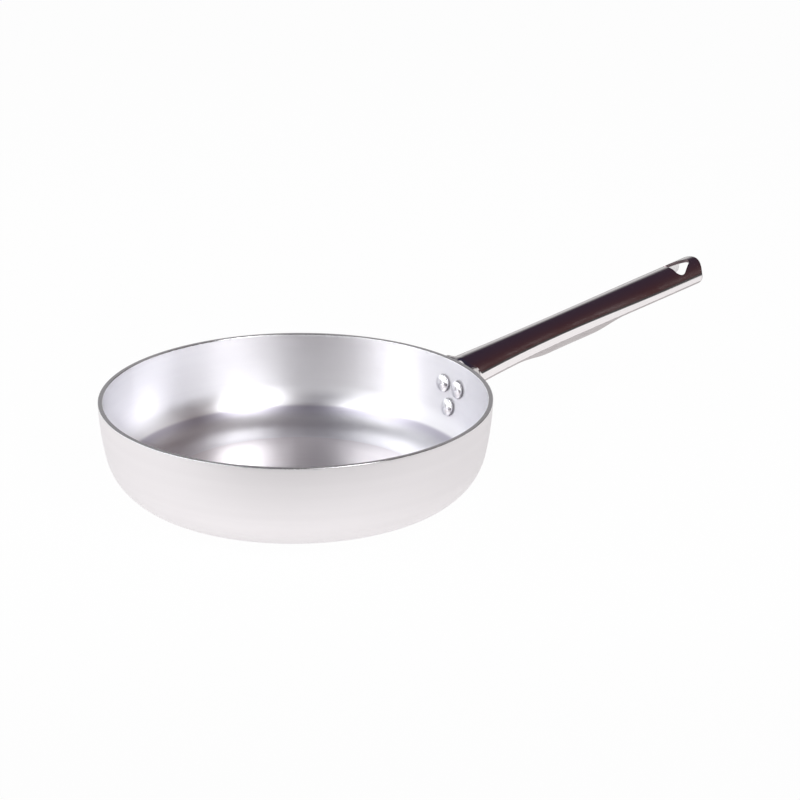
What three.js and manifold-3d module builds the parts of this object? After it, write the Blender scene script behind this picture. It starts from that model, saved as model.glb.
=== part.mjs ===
// Saute pan: a spun aluminium pan with a formed steel channel handle, held by three rivets.
// Millimetres, +Z up. The origin is the centre of the resting face, and the handle runs along +X.
import * as THREE from 'three';
import { mergeVertices } from 'three/addons/utils/BufferGeometryUtils.js';
import Module from 'manifold-3d';

const wasm = await Module();
wasm.setup();

const { degToRad, lerp, smoothstep } = THREE.MathUtils;
const QUARTER = Math.PI / 2;

// Clearance kept between pieces that touch on the real pan.
const FIT_GAP = 0.3;

// Pan. The bore at the rim names its size, and the wall leans out a little more the lower it is.
const RIM_BORE = 240;
const PAN_SHEET = 3;
const PAN_HEIGHT = 61;
const RIM_LEAN = degToRad(2.2);
const RIM_BREAK = 0.4;
const WALL_RADIUS = 188;
const CORNER_RADIUS = 35;

// Rivets, at the corners of an equilateral triangle. Heads are inside the pan, tails on the tongue.
const RIVET_PITCH = 15.8;
const RIVET_DROP = 16.7;
const SHANK_DIAMETER = 6;
const HEAD_DIAMETER = 11.8;
const HEAD_HEIGHT = 2.6;
const TAIL_DIAMETER = 10;
const TAIL_HEIGHT = 2.2;
const RIVET_EDGE = 0.4;

// Handle: its crown line rises outward, and lengths along it start above the rim's outer edge.
const HANDLE_SHEET = 2;
const HANDLE_RISE = degToRad(10);
const HANDLE_DROP = 0.2;
const HANDLE_LENGTH = 195;
const BEND_RADIUS = 9;
const ROOT_RUN = 3;
const FLARE_RUN = 33;
const GRIP_WIDTH = { root: 32, waist: 24.5, end: 27 };
const ARCH_HEIGHT = { root: 9, waist: 7.2, end: 7.8 };
const SKIRT_DEPTH = { root: 4, waist: 4.2, end: 3 };

// The skirts' lower edges curl inward under the middle of the grip.
const CURL_RADIUS = 6.3;
const CURL_MOST = degToRad(85);
const CURL_LEAST = degToRad(8);
const CURL_START = 37;
const CURL_STOP = 70;

// Tongue on the wall: widest at the upper rivets, rounded about the lower one.
const TONGUE_WIDTH = 36;
const TONGUE_TIP_RADIUS = 10.5;

// End of the grip, bowed in plan with rounded lower corners, and its three-cornered hanging hole.
const END_BOW = 5.2;
const END_CORNER = 4;
const HOLE_WIDTH = 21;
const HOLE_LENGTH = 15.3;
const HOLE_INSET = 5.6;
const HOLE_CORNER = 4;

// Facets: steps round the pan, along each arc and along the handle.
const PAN_SIDES = 72;
const CORNER_STEPS = 7;
const WALL_STEPS = 4;
const RIVET_SIDES = 20;
const DOME_STEPS = 4;
const SHANK_HOLE_SIDES = 16;
const TIP_STEPS = 5;
const TONGUE_STEPS = 6;
const BEND_STEPS = 7;
const ROOT_STEPS = 2;
const GRIP_STEPS = 18;
const ARCH_STEPS = 6;
const SKIRT_STEPS = 2;
const CURL_STEPS = 4;
const HOLE_CORNER_STEPS = 6;

// Wall section: a shallow arc from the rim runs into the corner arc, and that ends flat on the base.
// Both keep their centres at any distance from the outer face.
const rimRadius = RIM_BORE / 2 + PAN_SHEET;
const wallDrop = PAN_HEIGHT - CORNER_RADIUS + WALL_RADIUS * Math.sin(RIM_LEAN);
const joinLean = Math.asin(wallDrop / (WALL_RADIUS - CORNER_RADIUS));
const wallCentre = new THREE.Vector2(
  rimRadius - WALL_RADIUS * Math.cos(RIM_LEAN),
  PAN_HEIGHT + WALL_RADIUS * Math.sin(RIM_LEAN),
);
const baseRadius = wallCentre.x + (WALL_RADIUS - CORNER_RADIUS) * Math.cos(joinLean);
const cornerCentre = new THREE.Vector2(baseRadius, CORNER_RADIUS);

/** The wall at a height: its radius and lean, on the surface that lies `out` beyond the outer face. */
function wallAt(height, out) {
  const wallLean = Math.asin((wallCentre.y - height) / (WALL_RADIUS + out));
  if (wallLean < joinLean) {
    return { radius: wallCentre.x + (WALL_RADIUS + out) * Math.cos(wallLean), height, lean: wallLean };
  }
  const cornerLean = Math.asin((cornerCentre.y - height) / (CORNER_RADIUS + out));
  return { radius: cornerCentre.x + (CORNER_RADIUS + out) * Math.cos(cornerLean), height, lean: cornerLean };
}

/** Points of an arc between two leans, from the base (a quarter turn) towards the rim or back. */
function leanArc(centre, radius, from, to, steps) {
  return new THREE.EllipseCurve(centre.x, centre.y, radius, radius, -from, -to, to > from).getPoints(steps);
}

/** A closed mesh as a manifold solid. */
function solidOf(geometry) {
  const bare = geometry.clone();
  bare.deleteAttribute('normal');
  bare.deleteAttribute('uv');
  const merged = mergeVertices(bare);
  const triangles = [];
  for (let i = 0; i < merged.index.count; i += 3) {
    const corners = [0, 1, 2].map((k) => merged.index.getX(i + k));
    if (new Set(corners).size === 3) triangles.push(...corners);
  }
  return new wasm.Manifold(new wasm.Mesh({
    numProp: 3,
    vertProperties: merged.attributes.position.array,
    triVerts: new Uint32Array(triangles),
  }));
}

/** A manifold solid as a three.js geometry. */
function geometryOf(solid) {
  const { vertProperties, triVerts } = solid.getMesh();
  const geometry = new THREE.BufferGeometry();
  geometry.setAttribute('position', new THREE.BufferAttribute(vertProperties, 3));
  geometry.setIndex(new THREE.BufferAttribute(triVerts, 1));
  geometry.computeVertexNormals();
  return geometry;
}

/** A geometry with the cutters taken out of it. */
function cut(geometry, cutters) {
  let solid = solidOf(geometry);
  for (const cutter of cutters) solid = solid.subtract(solidOf(cutter));
  return geometryOf(solid);
}

/** A profile of radius and height turned about Z. */
function revolve(profile, sides) {
  return new THREE.LatheGeometry(profile, sides).rotateX(QUARTER);
}

/** A mesh with its name and its own material. */
function piece(name, geometry, finish) {
  const mesh = new THREE.Mesh(geometry, new THREE.MeshStandardMaterial(finish));
  mesh.name = name;
  return mesh;
}

// Rivet places: the frame of each has its origin on the pan's inner face and +Z out through the wall.
const upperHeight = PAN_HEIGHT - RIVET_DROP;
const lowerHeight = upperHeight - RIVET_PITCH * Math.sin(Math.PI / 3);
const rivets = [
  { name: 'rivet_upper_left', height: upperHeight, across: -RIVET_PITCH / 2 },
  { name: 'rivet_upper_right', height: upperHeight, across: RIVET_PITCH / 2 },
  { name: 'rivet_lower', height: lowerHeight, across: 0 },
];

/** The frame of a rivet. */
function rivetFrame({ height, across }) {
  const { radius, lean } = wallAt(height, -PAN_SHEET);
  const turn = new THREE.Matrix4().makeRotationZ(Math.asin(across / radius));
  const place = new THREE.Matrix4().makeTranslation(radius, 0, height);
  const tilt = new THREE.Matrix4().makeRotationY(QUARTER + lean);
  return turn.multiply(place).multiply(tilt);
}

/** A cutter for a rivet's shank hole, long enough for wall and tongue. */
function shankHole(rivet) {
  const radius = SHANK_DIAMETER / 2 + FIT_GAP;
  const length = 2 * (PAN_SHEET + HANDLE_SHEET + HEAD_DIAMETER);
  const cylinder = new THREE.CylinderGeometry(radius, radius, length, SHANK_HOLE_SIDES).rotateX(QUARTER);
  return cylinder.applyMatrix4(rivetFrame(rivet));
}

/** A rivet about Z: domed head below, plain shank, formed tail above. */
function rivetGeometry() {
  const headRadius = HEAD_DIAMETER / 2;
  const tailRadius = TAIL_DIAMETER / 2;
  const wallSag = headRadius ** 2 / RIM_BORE;
  const headSeat = -FIT_GAP - wallSag;
  const tailSeat = PAN_SHEET + FIT_GAP + HANDLE_SHEET + FIT_GAP;
  const headRise = HEAD_HEIGHT - RIVET_EDGE;
  const tailRise = TAIL_HEIGHT - RIVET_EDGE;
  const head = new THREE.EllipseCurve(0, headSeat - RIVET_EDGE, headRadius, headRise, -QUARTER, 0);
  const tail = new THREE.EllipseCurve(0, tailSeat + RIVET_EDGE, tailRadius, tailRise, 0, QUARTER);
  return revolve([
    ...head.getPoints(DOME_STEPS),
    new THREE.Vector2(headRadius, headSeat),
    new THREE.Vector2(SHANK_DIAMETER / 2, headSeat),
    new THREE.Vector2(SHANK_DIAMETER / 2, tailSeat),
    new THREE.Vector2(tailRadius, tailSeat),
    ...tail.getPoints(DOME_STEPS),
  ], RIVET_SIDES);
}

/** The pan: its section turned about Z, with the rivets' holes. */
function panGeometry() {
  const breakLine = PAN_HEIGHT - RIM_BREAK;
  const outerLean = wallAt(breakLine, 0).lean;
  const innerLean = wallAt(breakLine, -PAN_SHEET).lean;
  const innerWall = WALL_RADIUS - PAN_SHEET;
  const innerCorner = CORNER_RADIUS - PAN_SHEET;
  const profile = [
    new THREE.Vector2(0, 0),
    ...leanArc(cornerCentre, CORNER_RADIUS, QUARTER, joinLean, CORNER_STEPS),
    ...leanArc(wallCentre, WALL_RADIUS, joinLean, outerLean, WALL_STEPS).slice(1),
    new THREE.Vector2(rimRadius - RIM_BREAK, PAN_HEIGHT),
    new THREE.Vector2(RIM_BORE / 2 + RIM_BREAK, PAN_HEIGHT),
    ...leanArc(wallCentre, innerWall, innerLean, joinLean, WALL_STEPS),
    ...leanArc(cornerCentre, innerCorner, joinLean, QUARTER, CORNER_STEPS).slice(1),
    new THREE.Vector2(0, PAN_SHEET),
  ];
  return cut(revolve(profile, PAN_SIDES), rivets.map(shankHole));
}

// The handle's path, in the plane of X and Z, runs on the face that becomes the crown: up the wall on
// the tongue, round the bend and out along the crown line. At each station `out` points off that face.
const along = new THREE.Vector2(Math.cos(HANDLE_RISE), Math.sin(HANDLE_RISE));
const above = new THREE.Vector2(-along.y, along.x);
const crownStart = new THREE.Vector2(rimRadius, PAN_HEIGHT - HANDLE_DROP);
const bendReach = WALL_RADIUS + FIT_GAP + BEND_RADIUS;
const bendStop = bendTangent();
const bendCentre = crownPoint(bendStop).addScaledVector(above, -BEND_RADIUS);
const bendLean = Math.asin((wallCentre.y - bendCentre.y) / bendReach);
const bendTurn = QUARTER - HANDLE_RISE - bendLean;
const bendFoot = bendCentre.y + BEND_RADIUS * Math.sin(bendLean);
const channelStart = bendStop + ROOT_RUN;
const waistAt = (CURL_START + HANDLE_LENGTH - CURL_STOP) / 2;

/** A point of the crown line. */
function crownPoint(length) {
  return crownStart.clone().addScaledVector(along, length);
}

/** Where on the crown line the bend ends, for a bend that touches both that line and the wall. */
function bendTangent() {
  const offset = crownStart.clone().addScaledVector(above, -BEND_RADIUS).sub(wallCentre);
  const middle = offset.dot(along);
  return Math.sqrt(middle ** 2 - offset.lengthSq() + bendReach ** 2) - middle;
}

/** A grip size at a length: it narrows from root to waist and eases out to its end value. */
function gripSize(size, length) {
  if (length < waistAt) return size.waist + (size.root - size.waist) * (1 - length / waistAt) ** 2;
  return lerp(size.waist, size.end, smoothstep(length, waistAt, HANDLE_LENGTH - FLARE_RUN));
}

/** Half of the channel's section, as distance across and depth below the crown. */
function channelSection(length) {
  const halfWidth = gripSize(GRIP_WIDTH, length) / 2;
  const arch = gripSize(ARCH_HEIGHT, length);
  const skirt = gripSize(SKIRT_DEPTH, length);
  const phase = (length - CURL_START) / (HANDLE_LENGTH - CURL_STOP - CURL_START);
  const swell = Math.sin(Math.PI * THREE.MathUtils.clamp(phase, 0, 1)) ** 2;
  const curl = lerp(CURL_LEAST, CURL_MOST, swell);
  const points = [];
  for (let i = 0; i <= ARCH_STEPS; i += 1) {
    const angle = QUARTER * i / ARCH_STEPS;
    points.push(new THREE.Vector2(halfWidth * Math.sin(angle), arch * (1 - Math.cos(angle))));
  }
  for (let i = 1; i <= SKIRT_STEPS; i += 1) {
    points.push(new THREE.Vector2(halfWidth, arch + skirt * i / SKIRT_STEPS));
  }
  for (let i = 1; i <= CURL_STEPS; i += 1) {
    const angle = curl * i / CURL_STEPS;
    const across = halfWidth - CURL_RADIUS * (1 - Math.cos(angle));
    points.push(new THREE.Vector2(across, arch + skirt + CURL_RADIUS * Math.sin(angle)));
  }
  return points;
}

/** Half of the tongue's section: it follows the round wall, so its edges lie nearer the pan. */
function tongueSection(wall) {
  const steps = ARCH_STEPS + SKIRT_STEPS + CURL_STEPS;
  const radius = wall.radius / Math.cos(wall.lean);
  const halfWidth = tongueHalfWidth(wall.height);
  return Array.from({ length: steps + 1 }, (_, i) => {
    const across = halfWidth * i / steps;
    return new THREE.Vector2(across, Math.sqrt(radius ** 2 - across ** 2) - radius);
  });
}

/** The tongue's half width at a height: round below the lower rivet, then easing out. */
function tongueHalfWidth(height) {
  if (height < lowerHeight) return Math.sqrt(TONGUE_TIP_RADIUS ** 2 - (lowerHeight - height) ** 2);
  return lerp(TONGUE_TIP_RADIUS, TONGUE_WIDTH / 2, smoothstep(height, lowerHeight, upperHeight));
}

/** A station on the tongue at a height. */
function tongueStation(height) {
  const wall = wallAt(height, FIT_GAP);
  return {
    point: new THREE.Vector2(wall.radius, height),
    out: new THREE.Vector2(-Math.cos(wall.lean), Math.sin(wall.lean)),
    section: tongueSection(wall),
  };
}

/** The channel's section folded up by a share from the tongue's section at the foot of the bend. */
function foldedSection(length, share) {
  const flat = tongueSection(wallAt(bendFoot, FIT_GAP));
  return channelSection(length).map((point, i) => flat[i].lerp(point, share));
}

/** All stations from the tongue's tip to the end of the grip. */
function handleStations() {
  const stations = [];
  const channelDepth = channelSection(bendStop).at(-1).y;
  const foldAtBend = Math.min(1, (BEND_RADIUS - HANDLE_SHEET) / channelDepth);
  for (let i = 1; i <= TIP_STEPS; i += 1) {
    stations.push(tongueStation(lowerHeight - TONGUE_TIP_RADIUS * Math.cos(QUARTER * i / (TIP_STEPS + 1))));
  }
  for (let i = 0; i < TONGUE_STEPS; i += 1) {
    stations.push(tongueStation(lerp(lowerHeight, bendFoot, i / TONGUE_STEPS)));
  }
  for (let i = 0; i < BEND_STEPS; i += 1) {
    const turn = bendTurn * i / BEND_STEPS;
    const angle = Math.PI - bendLean - turn;
    const out = new THREE.Vector2(Math.cos(angle), Math.sin(angle));
    const point = bendCentre.clone().addScaledVector(out, BEND_RADIUS);
    const share = foldAtBend * smoothstep(i / BEND_STEPS, 0, 1);
    stations.push({ point, out, section: foldedSection(bendStop, share) });
  }
  for (let i = 0; i < ROOT_STEPS; i += 1) {
    const length = lerp(bendStop, channelStart, i / ROOT_STEPS);
    const share = lerp(foldAtBend, 1, i / ROOT_STEPS);
    stations.push({ point: crownPoint(length), out: above, section: foldedSection(length, share) });
  }
  for (let i = 0; i <= GRIP_STEPS; i += 1) {
    const length = lerp(channelStart, HANDLE_LENGTH, i / GRIP_STEPS);
    const section = channelSection(length);
    stations.push({ point: crownPoint(length), out: above, section, trim: endTrim(length) });
  }
  return stations;
}

/** How far each point of a section is drawn back, so that the grip ends bowed and round-cornered. */
function endTrim(length) {
  const share = Math.max(0, 1 - (HANDLE_LENGTH - length) / FLARE_RUN);
  const halfWidth = GRIP_WIDTH.end / 2;
  const depth = ARCH_HEIGHT.end + SKIRT_DEPTH.end + CURL_RADIUS * Math.sin(CURL_LEAST);
  return (point) => {
    const bow = END_BOW * (point.x / halfWidth) ** 2;
    const into = THREE.MathUtils.clamp(point.y - depth + END_CORNER, 0, END_CORNER);
    return share * (bow + END_CORNER - Math.sqrt(END_CORNER ** 2 - into ** 2));
  };
}

/** The closed ring of a station: the crown face from side to side, then back on the under face. */
function stationRing({ point, out, section, trim }) {
  const mirrored = section.slice(1).reverse().map((p) => new THREE.Vector2(-p.x, p.y));
  const face = [...mirrored, ...section];
  const under = face.map((p, i) => {
    const before = face[Math.max(i - 1, 0)];
    const after = face[Math.min(i + 1, face.length - 1)];
    const side = after.clone().sub(before).normalize();
    return new THREE.Vector2(p.x - HANDLE_SHEET * side.y, p.y + HANDLE_SHEET * side.x);
  });
  return [...face, ...under.reverse()].map((p, i) => {
    const mate = face[i < face.length ? i : 2 * face.length - 1 - i];
    const place = point.clone().addScaledVector(out, -p.y);
    if (trim) place.addScaledVector(along, -trim(mate));
    return new THREE.Vector3(place.x, p.x, place.y);
  });
}

/** A loft through closed rings of equal count, with both ends closed across the sheet. */
function loft(rings) {
  const count = rings[0].length;
  const index = [];
  const quad = (a, b, c, d) => index.push(a, b, c, a, c, d);
  for (let k = 0; k + 1 < rings.length; k += 1) {
    for (let i = 0; i < count; i += 1) {
      const next = (i + 1) % count;
      quad(k * count + i, (k + 1) * count + i, (k + 1) * count + next, k * count + next);
    }
  }
  const last = (rings.length - 1) * count;
  for (let i = 0; i + 1 < count / 2; i += 1) {
    const mate = count - 1 - i;
    quad(i, i + 1, mate - 1, mate);
    quad(last + i, last + mate, last + mate - 1, last + i + 1);
  }
  const geometry = new THREE.BufferGeometry().setFromPoints(rings.flat());
  return geometry.setIndex(index);
}

/** A convex outline of equal rounded corners about the given centres, in turn anticlockwise. */
function roundedOutline(centres, radius) {
  const outline = new THREE.Shape();
  centres.forEach((centre, i) => {
    const before = centres[(i + centres.length - 1) % centres.length];
    const after = centres[(i + 1) % centres.length];
    const from = centre.clone().sub(before).angle() - QUARTER;
    const to = after.clone().sub(centre).angle() - QUARTER;
    outline.absarc(centre.x, centre.y, radius, from, to, false);
  });
  return outline;
}

/** A cutter for the hanging hole: its base is towards the pan and its apex towards the end. */
function hangingHole() {
  const apex = HANDLE_LENGTH - HOLE_INSET;
  const base = apex - HOLE_LENGTH;
  const half = HOLE_WIDTH / 2 - HOLE_CORNER;
  const outline = roundedOutline([
    new THREE.Vector2(apex - HOLE_CORNER, 0),
    new THREE.Vector2(base + HOLE_CORNER, half),
    new THREE.Vector2(base + HOLE_CORNER, -half),
  ], HOLE_CORNER);
  const depth = ARCH_HEIGHT.end + HANDLE_SHEET;
  const prism = new THREE.ExtrudeGeometry(outline, {
    depth: 2 * depth,
    bevelEnabled: false,
    curveSegments: HOLE_CORNER_STEPS,
  });
  prism.translate(0, 0, -depth);
  const crownFrame = new THREE.Matrix4().makeBasis(
    new THREE.Vector3(along.x, 0, along.y),
    new THREE.Vector3(0, 1, 0),
    new THREE.Vector3(above.x, 0, above.y),
  );
  crownFrame.setPosition(crownStart.x, 0, crownStart.y);
  return prism.applyMatrix4(crownFrame);
}

/** The handle: one sheet lofted from tongue to end, with its rivet holes and hanging hole. */
function handleGeometry() {
  const sheet = loft(handleStations().map(stationRing));
  return cut(sheet, [...rivets.map(shankHole), hangingHole()]);
}

const SPUN_ALUMINIUM = { color: 0xd9d9dc, roughness: 0.42, metalness: 1 };
const POLISHED_ALUMINIUM = { color: 0xe2e2e6, roughness: 0.25, metalness: 1 };
const POLISHED_STEEL = { color: 0xb9b4b2, roughness: 0.14, metalness: 1 };

const pan = new THREE.Group();
pan.add(piece('pan_body', panGeometry(), SPUN_ALUMINIUM));
pan.add(piece('handle', handleGeometry(), POLISHED_STEEL));
for (const rivet of rivets) {
  const mesh = piece(rivet.name, rivetGeometry(), POLISHED_ALUMINIUM);
  mesh.applyMatrix4(rivetFrame(rivet));
  pan.add(mesh);
}

export default pan;
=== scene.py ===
"""Looks of a spun aluminium saute pan with a riveted handle of formed steel.

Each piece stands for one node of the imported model, in the same place, with a denser mesh, worked
edges and a procedural finish. The sizes are the model's too, but for the bend at the handle's root,
which is drawn tighter. Lengths are in metres.
"""
import logging
import math
from dataclasses import dataclass, field
from enum import Enum
from functools import cached_property

import bmesh
import bpy
from mathutils import Matrix, Vector
from mathutils.geometry import intersect_point_line


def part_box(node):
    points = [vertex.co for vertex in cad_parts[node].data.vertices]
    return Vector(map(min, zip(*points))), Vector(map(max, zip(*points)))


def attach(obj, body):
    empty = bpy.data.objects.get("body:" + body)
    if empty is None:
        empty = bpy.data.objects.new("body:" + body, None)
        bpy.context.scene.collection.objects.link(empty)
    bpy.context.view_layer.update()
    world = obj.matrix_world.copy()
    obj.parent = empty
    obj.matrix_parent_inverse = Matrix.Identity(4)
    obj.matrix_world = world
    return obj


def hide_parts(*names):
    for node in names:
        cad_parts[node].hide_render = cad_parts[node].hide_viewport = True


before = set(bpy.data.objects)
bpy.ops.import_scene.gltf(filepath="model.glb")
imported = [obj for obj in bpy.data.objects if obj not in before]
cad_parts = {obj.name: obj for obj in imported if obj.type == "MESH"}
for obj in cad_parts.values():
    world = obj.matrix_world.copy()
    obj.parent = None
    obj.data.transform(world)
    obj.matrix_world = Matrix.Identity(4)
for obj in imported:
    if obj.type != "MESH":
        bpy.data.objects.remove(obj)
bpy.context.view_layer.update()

LOG = logging.getLogger("saute_pan")
BODY = "root"
MM = 0.001
QUARTER = math.pi / 2
FIT_GAP = 0.3 * MM
MERGE_DISTANCE = 0.001 * MM
# Attribute of the edge mark: wear on the pan's rim, painted shade along the handle's crease and cut edges
# and round the rivets' feet.
WEAR_AND_SHADE_LAYER = "edge_wear_and_shade"
# Attribute of painted shade: a dark band round the pan's inside corner.
CORNER_SHADE_LAYER = "corner_painted_shade"

Colour = tuple[float, float, float]
OpaqueColour = tuple[float, float, float, float]
Span = tuple[float, float]
Node = bpy.types.Node
Socket = bpy.types.NodeSocket


class Slot(Enum):
    """The record's material slots."""

    PAN = "spun_aluminium"
    HANDLE = "polished_steel"
    RIVET = "rivet_aluminium"


class PanFace(Enum):
    """The pan's differently worked faces, valued by material index."""

    OUTSIDE = 0
    INSIDE = 1
    RIM = 2
    BASE = 3


class HandleFace(Enum):
    """The handle's differently worked faces, valued by material index."""

    CROWN = 0
    # The curl is the crown's steel, left rougher and coloured darker as painted shade.
    CURL = 1
    INNER = 2


class Stretch(Enum):
    """The stretches of the handle's blank from the tongue's tip to the end of the grip, in rows."""

    TIP = 14
    TONGUE = 26
    BEND = 18
    ROOT = 6
    GRIP = 168


class RivetPlace(Enum):
    """The three rivets: each one's node, and its place across the handle in pitches."""

    UPPER_LEFT = ("rivet_upper_left", -0.5)
    UPPER_RIGHT = ("rivet_upper_right", 0.5)
    LOWER = ("rivet_lower", 0.0)

    def __init__(self, node: str, across: float) -> None:
        """Keep the node and the place across."""
        self.node = node
        self.across = across


def lerp(start: float, stop: float, share: float) -> float:
    """Return the value that lies a share of the way from start to stop."""
    return start + (stop - start) * share


def clamp(value: float, low: float = 0.0, high: float = 1.0) -> float:
    """Return the value held between low and high."""
    return max(low, min(high, value))


def smoothstep(value: float, start: float, stop: float) -> float:
    """Return 0 before start, 1 after stop and an eased share between them."""
    share = clamp((value - start) / (stop - start))
    return share * share * (3 - 2 * share)


def opaque(colour: Colour) -> OpaqueColour:
    """Return a colour with full alpha."""
    return (*colour, 1.0)


def grey(level: float) -> OpaqueColour:
    """Return the opaque grey of a level."""
    return opaque((level, level, level))


@dataclass(frozen=True)
class Grain:
    """A noise: how fine it is, and how many finer layers it has."""

    scale: float
    detail: float


class NodeSheet:
    """One node tree, with nodes added and linked by short calls."""

    # The Mix node's colour sockets go by index, because its other sockets have the same names.
    MIX_SHARE = 0
    MIX_START = 6
    MIX_STOP = 7
    MIX_COLOUR = 2

    def __init__(self, tree: bpy.types.NodeTree) -> None:
        """Take a tree and empty it."""
        self.tree = tree
        tree.nodes.clear()

    def add(self, kind: str, inputs: dict | None = None, **settings: object) -> Node:
        """Add a node.

        Args:
            kind: Blender's name of the node's type.
            inputs: Values, or sockets that feed them, by the input's name or index.
            settings: Properties of the node.

        Returns:
            The node.
        """
        node = self.tree.nodes.new(kind)
        for name, value in settings.items():
            setattr(node, name, value)
        for key, value in (inputs or {}).items():
            if isinstance(value, Socket):
                self.tree.links.new(value, node.inputs[key])
            else:
                node.inputs[key].default_value = value
        return node

    def math(self, operation: str, *terms: float | Socket) -> Socket:
        """Return the result of a Math node on the terms."""
        return self.add("ShaderNodeMath", dict(enumerate(terms)), operation=operation).outputs[0]

    def vector(self, operation: str, *terms: Vector | Socket) -> Socket:
        """Return the vector that a Vector Math node makes of the terms."""
        inputs = dict(enumerate(terms))
        return self.add("ShaderNodeVectorMath", inputs, operation=operation).outputs["Vector"]

    def measure(self, operation: str, *terms: Vector | Socket) -> Socket:
        """Return the value that a Vector Math node makes of the terms."""
        inputs = dict(enumerate(terms))
        return self.add("ShaderNodeVectorMath", inputs, operation=operation).outputs["Value"]

    def noise(self, place: Socket, grain: Grain, flat: bool = False) -> Socket:
        """Add a noise.

        Args:
            place: The place to read it at.
            grain: How fine it is.
            flat: Whether only X and Y of the place count.

        Returns:
            A value about 0.5.
        """
        inputs = {"Vector": place, "Scale": grain.scale, "Detail": grain.detail}
        dimensions = "2D" if flat else "3D"
        return self.add("ShaderNodeTexNoise", inputs, noise_dimensions=dimensions).outputs[0]

    def weigh(self, first: Socket, second: Socket, share: float) -> Socket:
        """Return two values mixed, with a share of the first and the rest of the second."""
        return self.math("MULTIPLY_ADD", first, share, self.math("MULTIPLY", second, 1 - share))

    def remap(self, value: Socket, old: Span, new: Span = (0.0, 1.0)) -> Socket:
        """Return a value eased from one range to another and held inside it."""
        inputs = dict(enumerate((value, *old, *new)))
        return self.add("ShaderNodeMapRange", inputs, interpolation_type="SMOOTHSTEP").outputs[0]

    def blend(self, share: Socket, start: OpaqueColour | Socket, stop: OpaqueColour | Socket) -> Socket:
        """Return a colour that lies a share of the way from start to stop."""
        inputs = {self.MIX_SHARE: share, self.MIX_START: start, self.MIX_STOP: stop}
        return self.add("ShaderNodeMix", inputs, data_type="RGBA").outputs[self.MIX_COLOUR]


class EffectGroups:
    """The shader node groups that the finishes share, each built once."""

    TOOL_LINE = Grain(1.0, 2.0)
    TOOL_BAND = Grain(0.09, 3.0)
    TOOL_DRIFT = Grain(17.0, 2.0)
    LINE_HEIGHT_SHARE = 0.7
    BAND_TONE_SHARE = 0.55
    BELT = Grain(1.0, 3.0)
    PITS = Grain(1500.0, 1.0)
    SMEAR = Grain(38.0, 3.0)
    BELT_HEIGHT_SHARE = 0.5
    BELT_TONE_SHARE = 0.45
    RAGGED = Grain(420.0, 3.0)
    RAGGED_REACH = 0.8
    WEAR_AND_SHADE_SPAN = (0.45, 0.95)

    def __init__(self) -> None:
        """Build the groups."""
        self.tool_lines = self._tool_lines()
        self.polish_grain = self._polish_grain()
        self.edge_wear_and_shade = self._edge_wear_and_shade()

    @staticmethod
    def _start(name: str, inputs: dict[str, str], outputs: list[str]) -> tuple[NodeSheet, Node]:
        """Start a group.

        Args:
            name: The group's name.
            inputs: Socket types by the input's name.
            outputs: Names of the value outputs.

        Returns:
            The sheet of the group's tree, and its input node.
        """
        tree = bpy.data.node_groups.new(name, "ShaderNodeTree")
        for label, kind in inputs.items():
            tree.interface.new_socket(label, in_out="INPUT", socket_type=kind)
        for label in outputs:
            tree.interface.new_socket(label, in_out="OUTPUT", socket_type="NodeSocketFloat")
        sheet = NodeSheet(tree)
        return sheet, sheet.add("NodeGroupInput")

    def _tool_lines(self) -> bpy.types.NodeTree:
        """Make the rings left by the spinning tool.

        Returns:
            A group whose rings run round Z, whatever way the wall leans.
        """
        inputs = {"Vector": "NodeSocketVector", "Pitch": "NodeSocketFloat"}
        sheet, given = self._start("tool_lines", inputs, ["Height", "Tone"])
        place = given.outputs["Vector"]
        radius = sheet.measure("LENGTH", sheet.vector("MULTIPLY", place, Vector((1.0, 1.0, 0.0))))
        height = sheet.add("ShaderNodeSeparateXYZ", {0: place}).outputs["Z"]
        section = sheet.add("ShaderNodeCombineXYZ", {"X": radius, "Y": height}).outputs[0]
        paced = sheet.vector("MULTIPLY", section, given.outputs["Pitch"])
        line = sheet.noise(paced, self.TOOL_LINE, flat=True)
        band = sheet.noise(paced, self.TOOL_BAND, flat=True)
        drift = sheet.noise(place, self.TOOL_DRIFT)
        sheet.add("NodeGroupOutput", {
            "Height": sheet.weigh(line, band, self.LINE_HEIGHT_SHARE),
            "Tone": sheet.weigh(band, drift, self.BAND_TONE_SHARE),
        })
        return sheet.tree

    def _polish_grain(self) -> bpy.types.NodeTree:
        """Make the grain left by a polishing belt.

        Returns:
            A group with grain along X, fine pits and slow smears.
        """
        inputs = {"Vector": "NodeSocketVector", "Along": "NodeSocketFloat", "Across": "NodeSocketFloat"}
        sheet, given = self._start("polish_grain", inputs, ["Height", "Tone"])
        place = given.outputs["Vector"]
        across = given.outputs["Across"]
        pace = sheet.add("ShaderNodeCombineXYZ", {"X": given.outputs["Along"], "Y": across, "Z": across})
        belt = sheet.noise(sheet.vector("MULTIPLY", place, pace.outputs[0]), self.BELT)
        pits = sheet.noise(place, self.PITS)
        smear = sheet.noise(place, self.SMEAR)
        sheet.add("NodeGroupOutput", {
            "Height": sheet.weigh(belt, pits, self.BELT_HEIGHT_SHARE),
            "Tone": sheet.weigh(belt, smear, self.BELT_TONE_SHARE),
        })
        return sheet.tree

    def _edge_wear_and_shade(self) -> bpy.types.NodeTree:
        """Make the edge mark: wear on the pan's rim, painted shade on the handle and the rivets.

        Returns:
            A group whose mask follows the piece's attribute, broken up along the edge.
        """
        inputs = {"Vector": "NodeSocketVector", "Wear and shade": "NodeSocketFloat"}
        sheet, given = self._start("edge_wear_and_shade", inputs, ["Mask"])
        ragged = sheet.noise(given.outputs["Vector"], self.RAGGED)
        lowered = sheet.math("SUBTRACT", given.outputs["Wear and shade"], self.RAGGED_REACH / 2)
        reach = sheet.math("MULTIPLY_ADD", ragged, self.RAGGED_REACH, lowered)
        sheet.add("NodeGroupOutput", {"Mask": sheet.remap(reach, self.WEAR_AND_SHADE_SPAN)})
        return sheet.tree


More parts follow.
